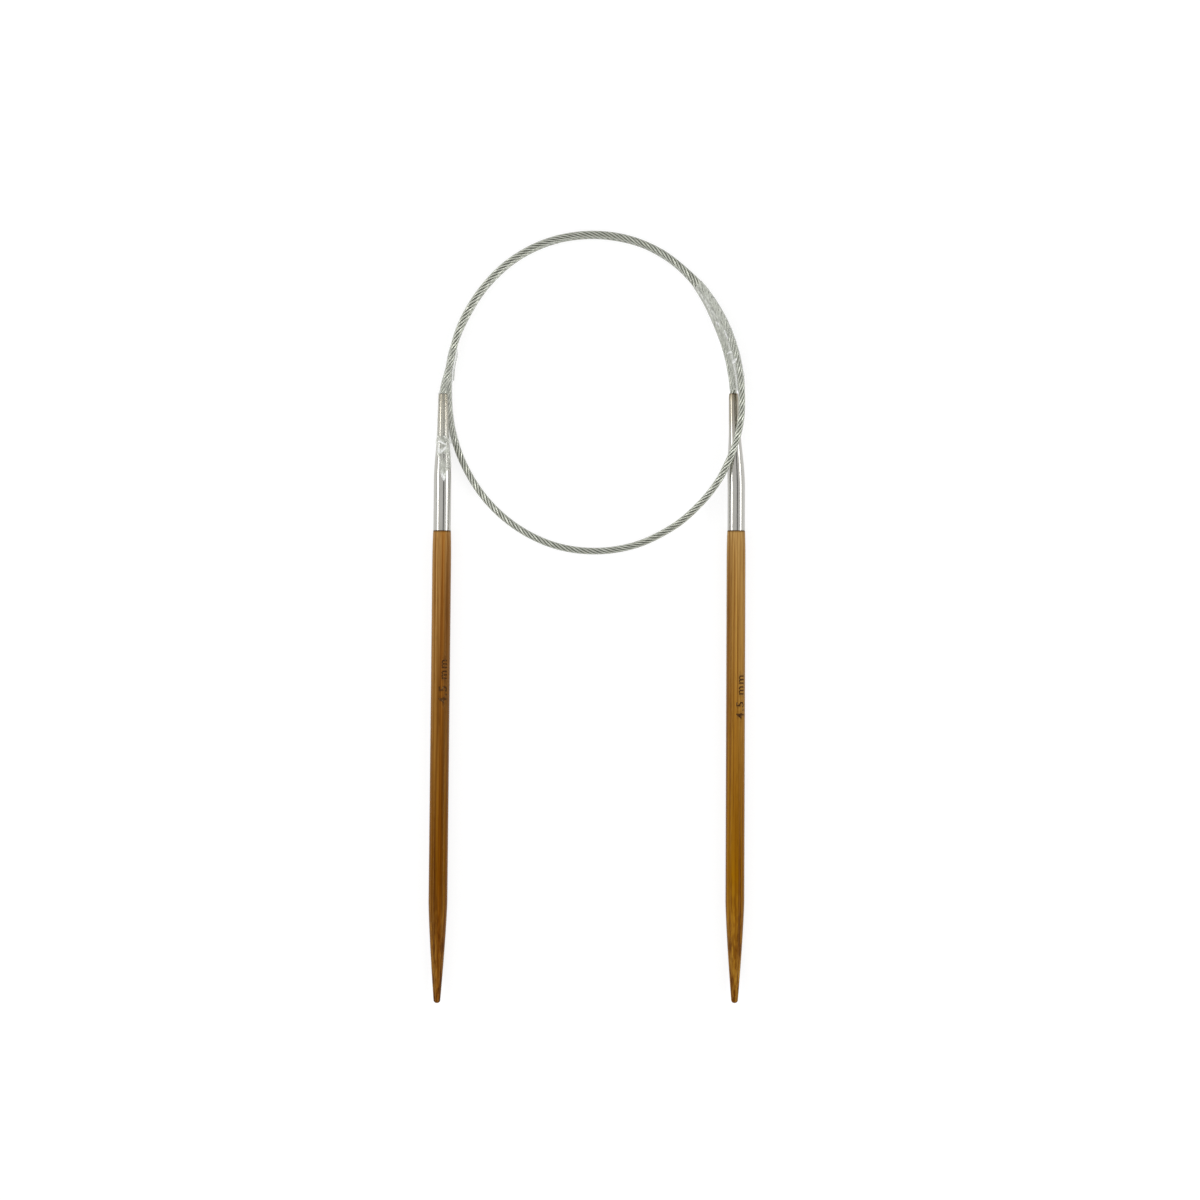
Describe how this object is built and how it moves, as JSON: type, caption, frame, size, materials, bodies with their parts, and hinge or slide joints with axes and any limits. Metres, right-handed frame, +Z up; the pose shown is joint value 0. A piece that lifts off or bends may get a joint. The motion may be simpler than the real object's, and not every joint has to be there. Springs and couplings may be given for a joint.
{
  "type": "circular knitting needle",
  "caption": "Circular knitting needle: bamboo needles with nickel-plated ferrules joined by a coated wire cable, coiled and held by clear film ties.",
  "frame": {"origin": "on the table under the needles, midway between their outer sides and halfway between their tips and the mouths of their ferrules", "axes": "+Z up from the table, +Y from the tips of the needles towards the coiled cable, +X towards the needle that the cable crosses over"},
  "size_m": [0.0752, 0.183, 0.0057],
  "materials": {
    "bamboo": "oiled and polished, fine straight grain",
    "nickel_plate": "bright nickel plate",
    "crimp_steel": "plain drawn tube",
    "wire_rope": "laid strands, bare",
    "coated_cable": "clear coating over laid steel wire",
    "clear_film": "crumpled clear film"
  },
  "bodies": {
    "loop": {"cable_loop": "coated_cable", "left_tie": "clear_film", "right_tie": "clear_film"},
    "left_needle": {"left_shaft": "bamboo", "left_ferrule": "nickel_plate", "left_crimp": "crimp_steel", "left_wire_end": "wire_rope", "left_lead": "coated_cable"},
    "right_needle": {"right_shaft": "bamboo", "right_ferrule": "nickel_plate", "right_crimp": "crimp_steel", "right_wire_end": "wire_rope", "right_lead": "coated_cable"}
  },
  "joints": [
    {"name": "left_swing", "type": "hinge", "parent": "loop", "child": "left_needle", "pos_m": [-0.03296, 0.07868, 0.00295], "axis": [0, 0, -1], "range_deg": [0, 45], "stiffness_Nm_per_rad": 0.01, "deforming": ["left_tie"]},
    {"name": "right_swing", "type": "hinge", "parent": "loop", "child": "right_needle", "pos_m": [0.03401, 0.07813, 0.0022], "axis": [0, 0, 1], "range_deg": [0, 45], "stiffness_Nm_per_rad": 0.01, "deforming": ["right_tie"]}
  ]
}
